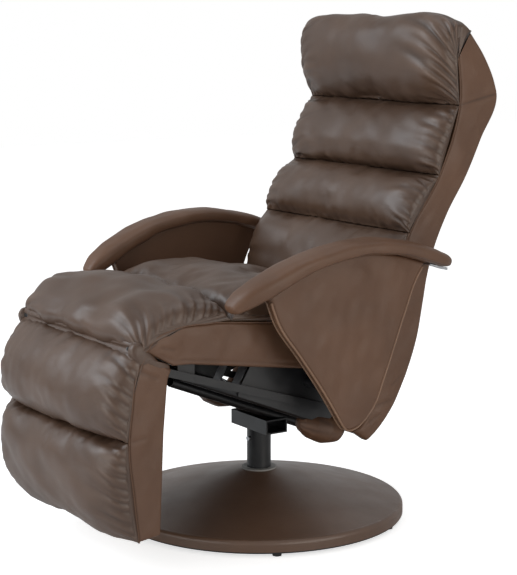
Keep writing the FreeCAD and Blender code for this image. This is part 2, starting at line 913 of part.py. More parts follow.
def footrest_side_panel():
    return slab(footrest_seam + footrest_rear, [0, 0, 0, 2, 0, 0, 0, 2], panel_inner, seat_half)


# Latch lever and spring

def latch_hub():
    rail_face = rail_offset - tube_radius
    return rail_face - latch_gap - latch_thick, rail_face - latch_gap


def latch_bar(start, end, radius):
    low, high = latch_hub()
    turn = math.radians(latch_angle)
    direction = Vector(0, math.cos(turn), math.sin(turn))
    base = place((low + high) / 2, *latch_pivot()) + direction * start
    return Part.makeCylinder(radius, end - start, base, direction)


def release_lever():
    low, high = latch_hub()
    hub = rod_x(low, high, latch_pivot(), latch_hub_radius)
    shape = hub.fuse(latch_bar(latch_hub_radius - 2, latch_reach, latch_rod_radius))
    return shape.cut(rod_x(low, high, latch_pivot(), latch_pin_radius + running_gap)).removeSplitter()


def release_grip():
    start = latch_reach - grip_overlap
    body = latch_bar(start, start + grip_length, grip_radius)
    body = body.makeFillet(grip_radius * 0.45, [body.Edges[0], body.Edges[2]])
    return body.cut(latch_bar(start - 1, latch_reach, latch_rod_radius))


def spring_axis():
    run = place(0, *spring_lower) - place(0, *spring_upper)
    length = run.Length
    run.normalize()
    return run, length


def spring_hanger(end, sign):
    """Flat strip that hangs from the seat board, square to the spring."""
    along, _ = spring_axis()
    up = (-along.z, along.y)
    foot = (end[0] - up[0] * hanger_foot, end[1] - up[1] * hanger_foot)
    top = (foot[0] + up[0] * hanger_length, foot[1] + up[1] * hanger_length)
    step = (along.y * sign * hanger_thick, along.z * sign * hanger_thick)
    outline = [foot, (foot[0] + step[0], foot[1] + step[1]), (top[0] + step[0], top[1] + step[1]), top]
    if sign < 0:
        outline.reverse()
    shape = slab(outline, [], -hanger_width / 2, hanger_width / 2)
    under = board_bottom()
    over = slab(under + list(reversed(shifted(under, 0, hanger_length))), [], -hanger_width, hanger_width)
    return shape.cut(over)


def arc_along(start, direction, end):
    """Arc that leaves start along direction and reaches end."""
    chord = end - start
    sideways = direction - chord * (direction.dot(chord) / chord.dot(chord))
    if sideways.Length < 1e-9:
        return Part.LineSegment(start, end)
    sideways.normalize()
    half_turn = direction.getAngle(chord) / 2
    return Part.Arc(start, start + chord * 0.5 + sideways * (chord.Length / 2 * math.tan(half_turn)), end)


def biarc(start, direction, end, end_direction):
    """Two arcs from start to end that share a tangent where they meet."""
    chord = end - start
    both = direction + end_direction
    square = 2 * (direction.dot(end_direction) - 1)
    linear = -2 * chord.dot(both)
    root = math.sqrt(linear * linear - 4 * square * chord.dot(chord))
    reach = (-linear - root) / (2 * square)
    joint = ((start + direction * reach) + (end - end_direction * reach)) * 0.5
    first = arc_along(start, direction, joint)
    second = arc_along(end, end_direction * -1, joint)
    return [first.toShape(), second.toShape()]


def spring_path():
    """Straight stubs, a lead-in at each end and a helix between them, as biarcs of half a turn."""
    along, length = spring_axis()
    side = Vector(1, 0, 0)
    other = along.cross(side)
    lead = spring_coil_radius * spring_lead_share
    coil = length - 2 * spring_stub - 2 * lead
    pitch = coil / spring_turns
    origin = place(0, *spring_upper)

    def on_helix(turns):
        angle = 2 * math.pi * turns
        radial = side * math.cos(angle) + other * math.sin(angle)
        point = origin + along * (spring_stub + lead + pitch * turns) + radial * spring_coil_radius
        tangent = other * math.cos(angle) - side * math.sin(angle)
        tangent = tangent * (2 * math.pi * spring_coil_radius) + along * pitch
        tangent.normalize()
        return point, tangent

    def off_helix(turns, distance):
        angle = 2 * math.pi * turns
        radial = side * math.cos(angle) + other * math.sin(angle)
        return origin + along * distance + radial * spring_coil_radius

    first_point = off_helix(-0.25, 0)
    second_point = off_helix(-0.25, spring_stub)
    edges = [Part.LineSegment(first_point, second_point).toShape()]
    marks = [on_helix(index / 2) for index in range(2 * spring_turns + 1)]
    edges += biarc(second_point, along, *marks[0])
    for (point, tangent), (next_point, next_tangent) in zip(marks[:-1], marks[1:]):
        edges += biarc(point, tangent, next_point, next_tangent)
    last_point = off_helix(spring_turns + 0.25, length)
    before_last = off_helix(spring_turns + 0.25, length - spring_stub)
    edges += biarc(*marks[-1], before_last, along)
    edges.append(Part.LineSegment(before_last, last_point).toShape())
    return Part.Wire(Part.__sortEdges__(edges))


def tension_spring():
    path = spring_path()
    along, _ = spring_axis()
    start = path.OrderedVertexes[0].Point
    if (start - place(0, *spring_upper)).Length > (start - place(0, *spring_lower)).Length:
        start = path.OrderedVertexes[-1].Point
    circle = Part.Wire(Part.Circle(start, along, spring_wire_radius).toShape())
    sweep = Part.BRepOffsetAPI.MakePipeShell(path)
    sweep.add(circle)
    sweep.build()
    sweep.makeSolid()
    shape = sweep.shape()
    expected = math.pi * spring_wire_radius ** 2 * path.Length
    print("spring volume", round(shape.Volume, 2), "section times length", round(expected, 2))
    print("spring least gap to itself", round(least_gap(path), 2))
    return shape


def least_gap(path):
    """Least distance between turns of the wire, measured on points along its line."""
    spacing = spring_wire_radius / 2
    points = path.discretize(Distance=spacing)
    near = int(2 * math.pi * spring_coil_radius / spacing / 2)
    least = min(
        (points[i] - points[j]).Length
        for i in range(len(points))
        for j in range(i + near, min(i + 3 * near, len(points)))
    )
    return least - 2 * spring_wire_radius


def save_base():
    save("base_dish", base_dish())
    save("base_plate", base_plate())
    save("base_feet", base_feet())
    save("column_tube", column_tube())
    save("column_collar", column_collar())
    save("column_screw", column_screw())
    save("upper_bush", upper_bush())
    save("lower_bush", lower_bush())


def save_carriage():
    save("swivel_spindle", swivel_spindle())
    save("swivel_head", swivel_head())
    save_pair("spine_tube", spine_tube())
    save("cross_tube_front", cross_tube(cross_front))
    save("cross_tube_rear", cross_tube(cross_rear))
    save("seat_rail_left", seat_rail(True))
    save("seat_rail_right", both_sides(seat_rail(False)))
    save_pair("side_plate", side_plate())
    save_pair("footrest_bracket", footrest_bracket())
    save("seat_board", seat_board())
    save("dust_cover", dust_cover())
    save("seat_front_cushion", seat_front_cushion())
    save("seat_rear_cushion", seat_rear_cushion())
    save_pair("seat_side_panel", seat_side_panel())
    save_pair("rear_pouch", rear_pouch())
    save_pair("arm_pad", arm_pad())
    save_pair("arm_panel", arm_panel())
    save("arm_stays", arm_stays())
    save("arm_end_plates", arm_end_plates())
    save("pivot_pins", pivot_pins())
    save("frame_bolts", frame_bolts())
    save("spring_hangers", group([spring_hanger(spring_upper, -1), spring_hanger(spring_lower, 1)]))
    save("tension_spring", tension_spring())
    save("release_lever", release_lever())
    save("release_grip", release_grip())


def save_backrest():
    save_pair("back_bracket", back_bracket())
    save("back_board", back_board())
    save_pair("back_side_panel", back_side_panel())
    save("back_rear_panel", back_rear_panel())
    save("headrest_cushion", headrest_cushion())
    save("back_upper_cushion", back_upper_cushion())
    save("back_middle_cushion", back_middle_cushion())
    save("back_lower_cushion", back_lower_cushion())


def save_footrest():
    save("footrest_frame", footrest_frame())
    save("footrest_upper_cushion", footrest_upper_cushion())
    save("footrest_lower_cushion", footrest_lower_cushion())
    save_pair("footrest_side_panel", footrest_side_panel())
    save_pair("footrest_lever", footrest_lever())
    save_pair("link_rod", link_rod())
    save("link_pins", link_pins())


save_base()
save_carriage()
save_backrest()
save_footrest()
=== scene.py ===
import json
import math

import bpy
import numpy as np
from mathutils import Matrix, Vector


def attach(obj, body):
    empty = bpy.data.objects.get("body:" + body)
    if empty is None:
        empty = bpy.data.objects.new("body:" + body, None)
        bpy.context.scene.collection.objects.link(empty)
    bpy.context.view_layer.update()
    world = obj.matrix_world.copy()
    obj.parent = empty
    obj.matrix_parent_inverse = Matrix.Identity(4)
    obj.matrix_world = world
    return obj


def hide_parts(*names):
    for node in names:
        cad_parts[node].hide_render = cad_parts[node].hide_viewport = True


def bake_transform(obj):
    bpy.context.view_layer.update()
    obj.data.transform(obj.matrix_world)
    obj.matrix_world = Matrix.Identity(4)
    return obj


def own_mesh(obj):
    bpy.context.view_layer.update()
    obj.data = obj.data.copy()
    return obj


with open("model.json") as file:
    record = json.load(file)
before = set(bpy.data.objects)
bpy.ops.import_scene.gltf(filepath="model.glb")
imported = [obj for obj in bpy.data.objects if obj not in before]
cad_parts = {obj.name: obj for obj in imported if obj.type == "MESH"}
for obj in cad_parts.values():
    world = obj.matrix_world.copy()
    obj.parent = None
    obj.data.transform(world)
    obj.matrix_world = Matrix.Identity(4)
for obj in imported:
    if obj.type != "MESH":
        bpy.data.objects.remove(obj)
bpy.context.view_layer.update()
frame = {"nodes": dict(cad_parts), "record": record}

MM = 0.001
WAVES = 9

# Half widths of the upholstery, and the planes between which the side panels lie
SEAT_HALF = 0.236
SEAT_PANEL_IN = 0.222
BACK_HALF = 0.250
BACK_PANEL_IN = 0.226

# Seams in (y, z), millimetres, front to rear or top to bottom
SEAT_SEAM = [(-404, 427), (-388, 447), (-345, 463), (-256, 467), (92, 432)]
SEAT_BOTTOM = [(-346, 395), (-309, 393.5), (-183, 374), (-51, 355), (92, 338)]
BACK_SEAM = [(306, 984), (316, 851), (267, 714), (192, 602), (140, 440), (126, 352)]
BACK_TAIL = [(112, 300), (86, 237), (64, 214)]
BACK_REAR = [(342, 997), (385, 943), (412, 890), (417, 869), (377, 782), (339, 708), (292, 636), (258, 565),
             (242, 512), (232, 459), (217, 386), (187, 309), (151, 246), (116, 209), (94, 193)]
FOOT_SEAM = [(-406, 420), (-426, 384), (-436, 322), (-443, 262), (-434, 160), (-424, 72)]
FOOT_REAR = [(-350, 389), (-358, 371), (-367, 272), (-372, 170), (-377, 78)]


# Lines and fields

def smooth_line(points, count):
    """Cubic Hermite curve through the points: each tangent is the slope between the point's neighbours, and
    the samples stand at equal steps of chord length."""
    p = np.asarray(points, float)
    t = np.concatenate([[0.0], np.cumsum(np.linalg.norm(np.diff(p, axis=0), axis=1))])
    tangent = np.gradient(p, t, axis=0)
    s = np.linspace(0, t[-1], count)
    i = np.clip(np.searchsorted(t, s, side="right") - 1, 0, len(t) - 2)
    h = (t[i + 1] - t[i])[:, None]
    x = (s - t[i])[:, None] / h
    return ((2 * x**3 - 3 * x**2 + 1) * p[i] + (x**3 - 2 * x**2 + x) * h * tangent[i]
            + (3 * x**2 - 2 * x**3) * p[i + 1] + (x**3 - x**2) * h * tangent[i + 1])


def straight_line(points, count):
    """Samples at equal steps of length along straight runs between the points."""
    p = np.asarray(points, float)
    t = np.concatenate([[0.0], np.cumsum(np.linalg.norm(np.diff(p, axis=0), axis=1))])
    s = np.linspace(0, t[-1], count)
    return np.stack([np.interp(s, t, p[:, k]) for k in range(p.shape[1])], -1)


def field(points, seed, wavelength):
    """Soft random field: the sum of sine waves of random direction and phase, each of about one wavelength,
    over the root of their number."""
    rng = np.random.default_rng(seed)
    direction = rng.normal(size=(WAVES, points.shape[-1]))
    direction /= np.linalg.norm(direction, axis=1)[:, None]
    number = 2 * np.pi / (wavelength * rng.uniform(0.7, 1.5, WAVES))
    phase = rng.uniform(0, 2 * np.pi, WAVES)
    return np.sin(points @ (direction * number[:, None]).T + phase).sum(-1) / math.sqrt(WAVES)


def pleats(along, distance, length, seed, spacing, reach, depth):
    """Gathers at a seam: a sum of valleys across the seam at uneven places along it. Each is a narrow dip of
    Gaussian section between two low ridges; it leans, widens and dies out with distance from the seam."""
    rng = np.random.default_rng(seed)
    count = max(int(length / spacing), 2)
    centre = (np.arange(count) + rng.uniform(0.1, 0.9, count)) * length / count
    strength = rng.uniform(0.35, 1.0, count) * depth
    own_reach = rng.uniform(0.45, 1.35, count) * reach
    lean = rng.normal(0, 0.16, count)
    width = rng.uniform(0.20, 0.36, count) * spacing
    q = (along[..., None] - centre - lean * distance[..., None])
    q = q / (width * (1 + 1.6 * distance[..., None] / own_reach))
    shape = np.exp(-q**2) - 0.5 * np.exp(-(q / 2.1)**2)
    fade = np.exp(-(distance[..., None] / own_reach)**1.5)
    return -(shape * fade * strength).sum(-1)


def normals(grid):
    """Unit normals of a grid of points: the cross product of its two slopes."""
    across = np.cross(np.gradient(grid, axis=0), np.gradient(grid, axis=1))
    size = np.linalg.norm(across, axis=-1, keepdims=True)
    return across / np.maximum(size, 1e-12)


# Meshes

def mesh_piece(name, points, faces, material, body, fold=None):
    """Mesh object at the origin from arrays of points and of four-sided or three-sided faces."""
    mesh = bpy.data.meshes.new(name)
    mesh.from_pydata(points.tolist(), [], faces)
    mesh.validate()
    mesh.shade_smooth()
    # The fold attribute holds fold depth: the leather shader paints shade where it is negative and a
    # highlight, partly wear, where it is positive.
    if fold is not None:
        layer = mesh.attributes.new("fold", "FLOAT", "POINT")
        layer.data.foreach_set("value", np.ascontiguousarray(fold, np.float32))
    obj = bpy.data.objects.new(name, mesh)
    bpy.context.scene.collection.objects.link(obj)
    obj.data.materials.append(material)
    outward(obj)
    if body:
        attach(obj, body)
    return obj


def outward(obj):
    """Turns the faces outwards where the closed mesh has a negative signed volume."""
    mesh = obj.data
    mesh.calc_loop_triangles()
    corner = np.zeros(len(mesh.vertices) * 3)
    mesh.vertices.foreach_get("co", corner)
    corner = corner.reshape(-1, 3)
    triangle = np.zeros(len(mesh.loop_triangles) * 3, np.int32)
    mesh.loop_triangles.foreach_get("vertices", triangle)
    a, b, c = np.moveaxis(corner[triangle.reshape(-1, 3)], 1, 0)
    if np.einsum("ij,ij->i", a, np.cross(b, c)).sum() < 0:
        mesh.flip_normals()


def ring_faces(rings, size):
    """Faces between rings of points, each ring closed on itself, with a fan to a centre point at each end."""
    i, j = np.meshgrid(np.arange(rings - 1), np.arange(size), indexing="ij")
    k = (j + 1) % size
    quads = np.stack([i * size + j, i * size + k, (i + 1) * size + k, (i + 1) * size + j], -1)
    first, last, start = rings * size, rings * size + 1, (rings - 1) * size
    n = np.arange(size)
    after = (n + 1) % size
    near_fan = np.stack([after, n, np.full(size, first)], -1)
    far_fan = np.stack([start + n, start + after, np.full(size, last)], -1)
    return quads.reshape(-1, 4).tolist() + near_fan.tolist() + far_fan.tolist()


def ring_points(grid):
    """Points of the rings, and the mean of the first and of the last ring for their fans."""
    flat = grid.reshape(-1, 3)
    return np.concatenate([flat, grid[0].mean(0)[None], grid[-1].mean(0)[None]])


def ring_piece(name, grid, material, body, fold=None):
    """Mesh piece from a grid of rings, with no fold at the points in the middle of its two ends."""
    if fold is not None:
        fold = np.concatenate([fold.ravel(), [0, 0]])
    return mesh_piece(name, ring_points(grid), ring_faces(*grid.shape[:2]), material, body, fold)


def grid_cells(rows, columns):
    """Four-sided cells of a grid of points, as a grid of corner numbers."""
    index = np.arange(rows * columns).reshape(rows, columns)
    return np.stack([index[:-1, :-1], index[1:, :-1], index[1:, 1:], index[:-1, 1:]], -1)


def closed_sheet(outer, inner):
    """Points and faces of a sheet with thickness: its outer and inner grids, joined by a wall at the rim."""
    rows, columns = outer.shape[:2]
    size = rows * columns
    quads = grid_cells(rows, columns).reshape(-1, 4)
    index = np.arange(size).reshape(rows, columns)
    rim = np.concatenate([index[0, :-1], index[:-1, -1], index[-1, :0:-1], index[:0:-1, 0]])
    after = np.roll(rim, -1)
    wall = np.stack([rim, after, after + size, rim + size], -1)
    points = np.concatenate([outer.reshape(-1, 3), inner.reshape(-1, 3)])
    return points, np.concatenate([quads, quads[:, ::-1] + size, wall]).tolist()


def outward_of(line):
    """Unit directions in (y, z) square to a line: its slope turned by a quarter."""
    slope = np.gradient(line, axis=0)
    slope /= np.linalg.norm(slope, axis=1)[:, None]
    return np.stack([-slope[:, 1], slope[:, 0]], -1)


def swept(x, line):
    """A (y, z) line, or one line for each station, set at every station along X."""
    line = np.broadcast_to(line, (len(x),) + line.shape[-2:])
    return np.concatenate([np.broadcast_to(x[:, None, None], line.shape[:2] + (1,)), line], -1)


def tube(path, radius, sides):
    """Round tube carried along a path: circles square to the path's slope, upright about the X axis."""
    slope = np.gradient(path, axis=0)
    slope /= np.linalg.norm(slope, axis=1)[:, None]
    side = np.cross(slope, np.array([1.0, 0.0, 0.0]))
    weak = np.linalg.norm(side, axis=1) < 0.15
    side[weak] = np.cross(slope[weak], np.array([0.0, 0.0, 1.0]))
    side /= np.linalg.norm(side, axis=1)[:, None]
    other = np.cross(slope, side)
    turn = np.linspace(0, 2 * np.pi, sides, endpoint=False)
    circle = np.cos(turn)[None, :, None] * side[:, None] + np.sin(turn)[None, :, None] * other[:, None]
    return path[:, None] + circle * radius


def in_plane(line, x):
    """(y, z) points in millimetres set in the plane at x, in metres."""
    line = np.asarray(line, float) * MM
    return np.column_stack([np.full(len(line), x), line])


# Materials

def linear(red, green, blue):
    """Colour given as eight-bit display values, turned to linear light."""
    value = np.array([red, green, blue]) / 255
    return tuple(np.where(value <= 0.04045, value / 12.92, ((value + 0.055) / 1.055)**2.4)) + (1.0,)


class Nodes:
    """Small helper that adds and joins the nodes of one material."""

    def __init__(self, name):
        self.material = bpy.data.materials.new(name)
        self.material.use_nodes = True
        self.tree = self.material.node_tree
        self.shader = self.tree.nodes["Principled BSDF"]
        self.place = self.add("ShaderNodeTexCoord").outputs["Object"]

    def add(self, kind, **settings):
        node = self.tree.nodes.new(kind)
        for key, value in settings.items():
            setattr(node, key, value)
        return node

    def join(self, output, socket):
        self.tree.links.new(output, socket)

    def noise(self, scale, detail, roughness=0.5, stretch=None):
        node = self.add("ShaderNodeTexNoise")
        node.inputs["Scale"].default_value = scale
        node.inputs["Detail"].default_value = detail
        node.inputs["Roughness"].default_value = roughness
        source = self.place
        if stretch:
            mapping = self.add("ShaderNodeMapping")
            mapping.inputs["Scale"].default_value = stretch
            self.join(source, mapping.inputs["Vector"])
            source = mapping.outputs["Vector"]
        self.join(source, node.inputs["Vector"])
        return node.outputs["Fac"]

    def cells(self, scale):
        node = self.add("ShaderNodeTexVoronoi")
        node.inputs["Scale"].default_value = scale
        self.join(self.place, node.inputs["Vector"])
        return node.outputs["Distance"]

    def spread(self, value, low, high, start=0.0, end=1.0):
        node = self.add("ShaderNodeMapRange")
        node.inputs["From Min"].default_value = start
        node.inputs["From Max"].default_value = end
        node.inputs["To Min"].default_value = low
        node.inputs["To Max"].default_value = high
        self.join(value, node.inputs["Value"])
        return node.outputs["Result"]

    def blend(self, factor, first, second):
        node = self.add("ShaderNodeMix", data_type="RGBA")
        self.join(factor, node.inputs["Factor"])
        for value, socket in ((first, node.inputs[6]), (second, node.inputs[7])):
            if isinstance(value, tuple):
                socket.default_value = value
            else:
                self.join(value, socket)
        return node.outputs[2]

    def sum(self, first, second, share=1.0):
        node = self.add("ShaderNodeMath", operation="MULTIPLY_ADD")
        self.join(second, node.inputs[0])
        node.inputs[1].default_value = share
        self.join(first, node.inputs[2])
        return node.outputs[0]

    def bump(self, height, strength, distance):
        node = self.add("ShaderNodeBump")
        node.inputs["Strength"].default_value = strength
        node.inputs["Distance"].default_value = distance
        self.join(height, node.inputs["Height"])
        self.join(node.outputs["Normal"], self.shader.inputs["Normal"])

    def rough(self, value):
        self.join(value, self.shader.inputs["Roughness"])

    def colour(self, value):
        self.join(value, self.shader.inputs["Base Color"])


def leather(name, dark, light, low, high, fold_shade_highlight_wear=True, specular=0.5):
    """Coated leather: mottled brown with a fine pebbled grain. With fold shading on, painted shade darkens
    the creases and a painted highlight, partly wear, lightens the raised folds."""
    n = Nodes(name)
    mottle = n.noise(7.0, 4.0, 0.6)
    colour = n.blend(n.spread(mottle, 0, 1, 0.3, 0.7), linear(*dark), linear(*light))
    shine = n.sum(n.spread(n.noise(16.0, 3.0), low, high, 0.3, 0.7), n.noise(420.0, 2.0), 0.05)
    if fold_shade_highlight_wear:
        fold = n.add("ShaderNodeAttribute", attribute_name="fold").outputs["Fac"]
        # Painted shade: darker towards deep brown where the fold attribute is negative, in the creases.
        colour = n.blend(n.spread(fold, 0.55, 0, -1.0, -0.05), colour, linear(34, 24, 20))
        # Painted highlight, partly wear: lighter where the fold attribute is positive, on the raised folds.
        colour = n.blend(n.spread(fold, 0, 0.35, 0.1, 1.0), colour, linear(132, 110, 96))
    n.colour(colour)
    n.rough(shine)
    n.shader.inputs["Specular IOR Level"].default_value = specular
    grain = n.sum(n.spread(n.cells(620.0), 0, 1, 0.0, 0.9), n.noise(240.0, 3.0), 0.7)
    n.bump(n.sum(grain, n.noise(38.0, 2.0), 1.1), 0.22, 0.0007)
    return n.material


def metal(name, colour, low, high, metallic=0.0, grain=(1.0, 1.0, 1.0), bump=0.1):
    """Coated or plain steel: fine orange peel or drawn grain, with the roughness varied by soft smudges."""
    n = Nodes(name)
    n.shader.inputs["Metallic"].default_value = metallic
    smudge = n.noise(22.0, 4.0, 0.6)
    darker = tuple(v * 0.72 for v in linear(*colour)[:3]) + (1.0,)
    n.colour(n.blend(n.spread(smudge, 0, 1, 0.35, 0.7), darker, linear(*colour)))
    n.rough(n.spread(smudge, low, high, 0.25, 0.75))
    n.bump(n.noise(900.0, 2.0, 0.5, grain), bump, 0.0003)
    return n.material


def cloth(name, colour):
    """Woven cloth: two crossed sets of fine ribs in relief, with a faint fibre noise."""
    n = Nodes(name)
    ribs = []
    for direction in ("X", "Y"):
        wave = n.add("ShaderNodeTexWave", bands_direction=direction)
        wave.inputs["Scale"].default_value = 260.0
        wave.inputs["Distortion"].default_value = 0.6
        n.join(n.place, wave.inputs["Vector"])
        ribs.append(wave.outputs["Fac"])
    weave = n.sum(ribs[0], ribs[1])
    n.colour(n.blend(n.spread(n.noise(60.0, 4.0), 0, 1, 0.3, 0.7), linear(*colour),
                     linear(*[v + 14 for v in colour])))
    n.shader.inputs["Roughness"].default_value = 0.9
    n.shader.inputs["Sheen Weight"].default_value = 0.25
    n.bump(weave, 0.3, 0.0004)
    return n.material


def wood(name):
    """Plywood: long soft grain along X over a pale brown ground."""
    n = Nodes(name)
    grain = n.noise(30.0, 6.0, 0.65, (0.25, 3.0, 3.0))
    n.colour(n.blend(n.spread(grain, 0, 1, 0.35, 0.65), linear(150, 118, 80), linear(196, 164, 120)))
    n.rough(n.spread(grain, 0.55, 0.7))
    n.bump(grain, 0.2, 0.0005)
    return n.material


CUSHION = leather("cushion_leather", (69, 50, 38), (83, 62, 48), 0.34, 0.44, specular=0.52)
PANEL = leather("panel_leather", (86, 60, 43), (99, 70, 51), 0.40, 0.52, specular=0.4)
PIPING = leather("piping_leather", (112, 84, 64), (130, 100, 78), 0.40, 0.50, fold_shade_highlight_wear=False)
BASE_SKIN = leather("base_leather", (84, 62, 48), (97, 73, 58), 0.30, 0.40, fold_shade_highlight_wear=False, specular=0.6)
BLACK = metal("black_enamel", (24, 24, 26), 0.28, 0.45)
STEEL = metal("zinc_plate", (178, 180, 184), 0.25, 0.42, 1.0, (0.3, 1.0, 1.0))
DARK_PLASTIC = metal("dark_plastic", (30, 30, 31), 0.45, 0.6, 0.0, (1, 1, 1), 0.2)
PALE_PLASTIC = metal("pale_plastic", (150, 148, 144), 0.4, 0.55)
RED = metal("red_grip", (150, 24, 20), 0.35, 0.5)
BLACK_CLOTH = cloth("black_cloth", (18, 18, 19))
PLYWOOD = wood("plywood")

SLOT_MATERIAL = {
    "leather": PANEL, "base_skin": BASE_SKIN, "black_metal": BLACK, "zinc_steel": STEEL,
    "dark_plastic": DARK_PLASTIC, "pale_plastic": PALE_PLASTIC, "red_plastic": RED,
    "black_cloth": BLACK_CLOTH, "plywood": PLYWOOD,
}
for part in frame["record"]["subparts"]:
    node = frame["nodes"][part["node"]]
    node.data.materials.clear()
    node.data.materials.append(SLOT_MATERIAL[part["material_slot"]])


# Cushions

# Spacing over a roll and stations across it, fine for what is seen and coarse for the cloth
FINE_STEP, FINE_ACROSS = 3.2, 150
COARSE_STEP, COARSE_ACROSS = 9, 62
CLOTH_FRAMES = 20
CLOTH_SHARE = 0.55
FULL_POWER, FULL_ROOT = 4.6, 2.35


def fullness(share):
    """Share of the full section at a share of the half width: the root of 1 less the share to the power."""
    return np.clip(1 - np.abs(share)**FULL_POWER, 0, 1)**(1 / FULL_ROOT)


def crowned(middle, edge, base, half, count_across, count_over):
    """Crowned pad as a grid of rings. A ring at a share s of the half width is the edge line plus f times the
    way from it to the middle line, with f the n-th root of 1 - s to the power m, closed along the base."""
    s = np.sin(np.linspace(-np.pi / 2, np.pi / 2, count_across))
    full = fullness(s)
    over_middle = smooth_line(middle, count_over)
    over_edge = smooth_line(edge, count_over)
    over = over_edge[None] + (over_middle - over_edge)[None] * full[:, None, None]
    under = straight_line(base, 14)[1:-1]
    ring = np.concatenate([over, np.broadcast_to(under, (count_across, len(under), 2))], 1)
    x = np.broadcast_to((s * half * 1000)[:, None, None], ring.shape[:2] + (1,))
    return np.concatenate([x, ring], -1) * MM


def simulated(name, grid, count_over, cap):
    """Cloth under pressure on a coarse copy of the rings: the seams are pinned, the cloth is a little larger
    than its frame, and no point ends further than the cap from where it began."""
    rings, size = grid.shape[:2]
    mesh = bpy.data.meshes.new(name + "_cloth")
    mesh.from_pydata(ring_points(grid).tolist(), [], ring_faces(rings, size))
    obj = bpy.data.objects.new(name + "_cloth", mesh)
    scene = bpy.context.scene
    scene.collection.objects.link(obj)
    outward(obj)
    pin = obj.vertex_groups.new(name="pin")
    index = np.arange(rings * size).reshape(rings, size)
    held = np.concatenate([index[:, 0], index[:, count_over - 1:].ravel(), index[0], index[-1],
                           [rings * size, rings * size + 1]])
    pin.add([int(v) for v in np.unique(held)], 1.0, "REPLACE")
    modifier = obj.modifiers.new("cloth", "CLOTH")
    settings = modifier.settings
    settings.quality = 4
    settings.mass = 0.25
    settings.tension_stiffness = settings.compression_stiffness = 15
    settings.shear_stiffness = 4
    settings.bending_stiffness = 3.0
    settings.shrink_min = -0.006
    settings.use_pressure = True
    settings.uniform_pressure_force = 4
    settings.vertex_group_mass = "pin"
    settings.effector_weights.gravity = 0
    modifier.collision_settings.use_collision = False
    modifier.point_cache.frame_start = 1
    modifier.point_cache.frame_end = CLOTH_FRAMES
    for number in range(1, CLOTH_FRAMES + 1):
        scene.frame_set(number)
    shaped = obj.evaluated_get(bpy.context.evaluated_depsgraph_get()).to_mesh()
    after = np.zeros(len(shaped.vertices) * 3)
    shaped.vertices.foreach_get("co", after)
    after = after.reshape(-1, 3)[:rings * size].reshape(grid.shape)
    move = after - grid
    far = np.linalg.norm(move, axis=-1, keepdims=True)
    move *= np.minimum(1, cap / np.maximum(far, 1e-9)) * CLOTH_SHARE
    scene.frame_set(1)
    bpy.data.objects.remove(obj)
    return move


def refined(move, across, size):
    """A coarse grid of moves spread over a finer grid by linear steps along both directions."""
    old_u, old_v = np.linspace(0, 1, move.shape[0]), np.linspace(0, 1, move.shape[1])
    u, v = np.linspace(0, 1, across), np.linspace(0, 1, size)
    place_u, place_v = np.interp(u, old_u, np.arange(len(old_u))), np.interp(v, old_v, np.arange(len(old_v)))
    low_u = np.minimum(place_u.astype(int), len(old_u) - 2)
    low_v = np.minimum(place_v.astype(int), len(old_v) - 2)
    share_u, share_v = (place_u - low_u)[:, None, None], (place_v - low_v)[None, :, None]
    rows = move[low_u] * (1 - share_u) + move[low_u + 1] * share_u
    return rows[:, low_v] * (1 - share_v) + rows[:, low_v + 1] * share_v


def cushion(name, body, middle, edge, base, half, seed, side, first, last, soft=2.6, cap=0.022):
    """Padded roll: the crowned pad relaxed as cloth, with gathers at its sides and along both its creases,
    whose spacing, reach and depth are given in millimetres."""
    length = np.linalg.norm(np.diff(smooth_line(middle, 60), axis=0), axis=1).sum()
    over_count = int(length / FINE_STEP)
    across = FINE_ACROSS
    grid = crowned(middle, edge, base, half, across, over_count)
    coarse_over = int(length / COARSE_STEP)
    coarse = crowned(middle, edge, base, half, COARSE_ACROSS, coarse_over)
    move = simulated(name, coarse, coarse_over, cap)
    grid[:, :over_count] += refined(move[:, :coarse_over], across, over_count)
    over = grid[:, :over_count]
    out = normals(over)
    crest = (across // 2, over_count // 2)
    if out[crest] @ (over[crest] - grid[across // 2].mean(0)) < 0:
        out = -out
    run = np.linalg.norm(np.diff(over, axis=1), axis=2).cumsum(1) * 1000
    run = np.concatenate([np.zeros((across, 1)), run], 1)
    x = over[..., 0] * 1000
    to_side = half * 1000 - np.abs(x) + 2
    fold = np.zeros(x.shape)
    for sign, shift in ((1, 0), (-1, 50)):
        near = np.where(sign * x > 0, 1.0, 0.0)
        fold += near * pleats(run, to_side, length, seed + 1 + shift, *side)
    fold += pleats(x + half * 1000, run, half * 2000, seed + 3, *first)
    fold += pleats(x + half * 1000, run[:, -1:] - run, half * 2000, seed + 4, *last)
    edge_fade = np.clip(to_side / 7, 0, 1) * np.clip(run / 5, 0, 1) * np.clip((run[:, -1:] - run) / 5, 0, 1)
    loose = field(over * 1000, seed + 5, 120.0) * soft + field(over * 1000, seed + 6, 45.0) * soft * 0.22
    centre_fade = np.clip(to_side / 40, 0, 1)
    over += out * ((fold * (0.35 + 0.65 * edge_fade) + loose * centre_fade * edge_fade) * MM)[..., None]
    # Fold values for the leather shader, which paints shade into the gathers' valleys and a highlight, partly
    # wear, onto their ridges.
    fold_shading_and_wear = np.zeros(grid.shape[:2])
    fold_shading_and_wear[:, :over_count] = np.clip(fold / 3.0, -1, 1)
    piece = ring_piece(name, grid, CUSHION, body, fold_shading_and_wear)
    return piece


headrest = cushion(
    "headrest", "backrest",
    [(346, 999), (331, 1021), (292, 1031), (262, 1004), (251, 952), (260, 902), (288, 866), (313.6, 851)],
    [(342, 998), (334, 1001), (303, 1001), (296, 988), (300, 940), (306, 900), (311, 866), (313.6, 851)],
    [(313.6, 851), (308, 920), (306, 984), (342, 998)], BACK_HALF, 11,
    side=(15, 70, 6.0), first=(30, 24, 1.5), last=(24, 40, 3.4))
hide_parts("headrest_cushion")

